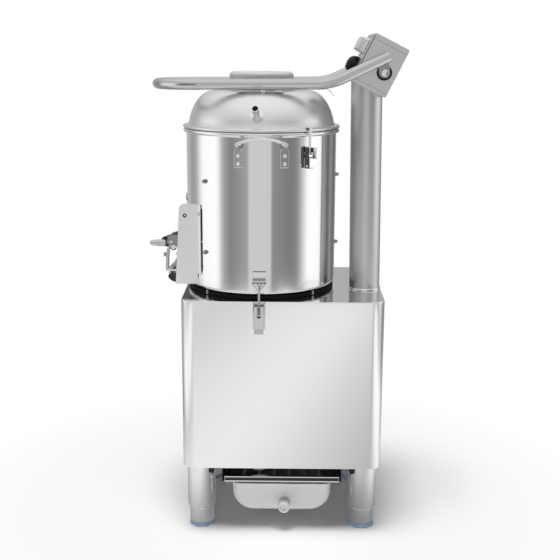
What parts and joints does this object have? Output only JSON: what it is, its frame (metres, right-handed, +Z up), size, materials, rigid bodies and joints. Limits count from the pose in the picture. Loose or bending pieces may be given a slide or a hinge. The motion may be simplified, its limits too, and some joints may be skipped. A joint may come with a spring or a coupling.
{
  "type": "electric potato peeler",
  "caption": "Electric potato peeler: a steel cabinet on tube legs with a peeling drum, a hinged domed lid, a discharge door with a latch and a tilted control box on a column.",
  "frame": {"origin": "on the floor, under the middle of the outer size", "axes": "+Z up, -X towards the operator and the discharge door, -Y the side with the water inlet and the basin's spigot"},
  "size_m": [0.4932, 0.353, 0.9516],
  "materials": {
    "cabinet_steel": "bright rolled stainless sheet",
    "tube_steel": "polished stainless tube",
    "drum_steel": "polished stainless drum with long soft bands",
    "sheet_steel": "fine satin stainless sheet",
    "fittings": "bright plated or stainless fittings",
    "cast_zinc": "satin cast metal",
    "cast_iron": "plain machined casting",
    "black_rubber": "matt black rubber",
    "black_plastic": "semi-gloss black plastic",
    "white_plastic": "smooth white plastic",
    "clear_plastic": "frosted clear plastic",
    "green_plastic": "green push button",
    "red_plastic": "red push button",
    "black_paint": "black painted steel",
    "motor_paint": "dark painted motor housing",
    "abrasive_coat": "rough bonded grit on steel"
  },
  "bodies": {
    "frame": {"base_shell": "cabinet_steel", "base_floor": "cabinet_steel", "leg_front_left": "tube_steel", "leg_front_right": "tube_steel", "leg_rear_left": "tube_steel", "leg_rear_right": "tube_steel", "drum_seat_ring": "black_rubber", "motor_plate": "cabinet_steel", "motor_housing": "motor_paint", "drive_belt": "black_rubber", "bearing_housing": "cast_iron", "lower_bearing": "fittings", "upper_bearing": "fittings", "shaft_seal": "black_rubber", "drain_pipe": "white_plastic", "tray_rail_frame": "black_paint", "column": "tube_steel", "control_box": "cabinet_steel", "control_box_back": "cabinet_steel", "timer_switch": "black_plastic", "switch_block": "black_plastic", "button_boot": "clear_plastic", "cable_gland": "black_plastic", "lid_pivot_pin": "fittings", "pivot_bush_near": "black_plastic", "pivot_bush_far": "black_plastic", "drum": "drum_steel", "drum_liner": "abrasive_coat", "chute_frame": "sheet_steel", "lifting_handle_near": "fittings", "lifting_handle_far": "fittings"},
    "disc": {"main_shaft": "fittings", "main_pulley": "cast_iron", "abrasive_disc": "abrasive_coat", "disc_cap": "fittings"},
    "motor_rotor": {"motor_shaft": "fittings", "motor_pulley": "cast_iron"},
    "drawer": {"filter_tray": "sheet_steel", "waste_basin": "white_plastic"},
    "start": {"start_button": "green_plastic"},
    "stop": {"stop_button": "red_plastic"},
    "knob": {"timer_knob": "black_plastic"},
    "door": {"discharge_door": "sheet_steel", "door_gasket": "black_rubber"},
    "door_lever": {"door_latch_lever": "cast_zinc"},
    "door_hook": {"door_latch_hook": "fittings"},
    "lid": {"lid_shell": "drum_steel", "lid_window": "clear_plastic", "lid_handle": "tube_steel", "water_inlet": "fittings"},
    "clip_lever": {"lid_clip_lever": "fittings"},
    "clip_hook": {"lid_clip_hook": "fittings"},
    "near_lever": {"drum_latch_near_lever": "fittings"},
    "near_hook": {"drum_latch_near_hook": "fittings"},
    "far_lever": {"drum_latch_far_lever": "fittings"},
    "far_hook": {"drum_latch_far_hook": "fittings"},
    "foot_front_left_body": {"foot_front_left": "tube_steel"},
    "foot_front_right_body": {"foot_front_right": "tube_steel"},
    "foot_rear_left_body": {"foot_rear_left": "tube_steel"},
    "foot_rear_right_body": {"foot_rear_right": "tube_steel"}
  },
  "joints": [
    {"name": "lid_hinge", "type": "hinge", "parent": "frame", "child": "lid", "pos_m": [0.20145, 0, 0.8806], "axis": [0, 1, 0], "range_deg": [0, 100]},
    {"name": "door_hinge", "type": "hinge", "parent": "frame", "child": "door", "pos_m": [-0.17005, 0, 0.614], "axis": [0, 1, 0], "range_deg": [0, 70]},
    {"name": "door_latch_lever", "type": "hinge", "parent": "door", "child": "door_lever", "pos_m": [-0.20305, 0, 0.552], "axis": [0, 1, 0], "range_deg": [0, 90]},
    {"name": "door_latch_hook", "type": "hinge", "parent": "door_lever", "child": "door_hook", "pos_m": [-0.19732, 0, 0.54799], "axis": [0, 1, 0], "range_deg": [-90, 0]},
    {"name": "lid_clip_lever", "type": "hinge", "parent": "frame", "child": "clip_lever", "pos_m": [0.059, -0.12925, 0.744], "axis": [-0.8339, -0.5519, 0], "range_deg": [0, 110]},
    {"name": "lid_clip_hook", "type": "hinge", "parent": "clip_lever", "child": "clip_hook", "pos_m": [0.059, -0.12925, 0.735], "axis": [-0.8339, -0.5519, 0], "range_deg": [-132, 0]},
    {"name": "near_latch_lever", "type": "hinge", "parent": "frame", "child": "near_lever", "pos_m": [-0.02655, -0.167, 0.456], "axis": [-1, 0, 0], "range_deg": [0, 110]},
    {"name": "near_latch_hook", "type": "hinge", "parent": "near_lever", "child": "near_hook", "pos_m": [-0.02655, -0.167, 0.44], "axis": [-1, 0, 0], "range_deg": [-99, 0]},
    {"name": "far_latch_lever", "type": "hinge", "parent": "frame", "child": "far_lever", "pos_m": [-0.02655, 0.167, 0.456], "axis": [1, 0, 0], "range_deg": [0, 110]},
    {"name": "far_latch_hook", "type": "hinge", "parent": "far_lever", "child": "far_hook", "pos_m": [-0.02655, 0.167, 0.44], "axis": [1, 0, 0], "range_deg": [-99, 0]},
    {"name": "disc_spin", "type": "hinge", "parent": "frame", "child": "disc", "pos_m": [-0.02655, 0, 0.4], "axis": [0, 0, 1], "continuous": true},
    {"name": "motor_spin", "type": "hinge", "parent": "frame", "child": "motor_rotor", "pos_m": [0.11345, 0, 0.4], "axis": [0, 0, 1], "continuous": true},
    {"name": "timer_turn", "type": "hinge", "parent": "frame", "child": "knob", "pos_m": [0.1533, 0, 0.89207], "axis": [-0.8957, 0, 0.4446], "range_deg": [0, 300]},
    {"name": "start_press", "type": "slide", "parent": "frame", "child": "start", "axis": [0.8957, 0, -0.4446], "range_m": [0, 0.0025], "stiffness_N_per_m": 400},
    {"name": "stop_press", "type": "slide", "parent": "frame", "child": "stop", "axis": [0.8957, 0, -0.4446], "range_m": [0, 0.0025], "stiffness_N_per_m": 400},
    {"name": "drawer_slide", "type": "slide", "parent": "frame", "child": "drawer", "axis": [0, -1, 0], "range_m": [0, 0.25]},
    {"name": "foot_front_left_screw", "type": "slide", "parent": "frame", "child": "foot_front_left_body", "axis": [0, 0, -1], "range_m": [0, 0.025]},
    {"name": "foot_front_right_screw", "type": "slide", "parent": "frame", "child": "foot_front_right_body", "axis": [0, 0, -1], "range_m": [0, 0.025]},
    {"name": "foot_rear_left_screw", "type": "slide", "parent": "frame", "child": "foot_rear_left_body", "axis": [0, 0, -1], "range_m": [0, 0.025]},
    {"name": "foot_rear_right_screw", "type": "slide", "parent": "frame", "child": "foot_rear_right_body", "axis": [0, 0, -1], "range_m": [0, 0.025]}
  ],
  "couplings": [
    {"joint": "door_latch_hook", "follows": "door_latch_lever", "ratio": -1},
    {"joint": "lid_clip_hook", "follows": "lid_clip_lever", "ratio": -1.2},
    {"joint": "near_latch_hook", "follows": "near_latch_lever", "ratio": -0.9},
    {"joint": "far_latch_hook", "follows": "far_latch_lever", "ratio": -0.9},
    {"joint": "motor_spin", "follows": "disc_spin", "ratio": 3}
  ]
}
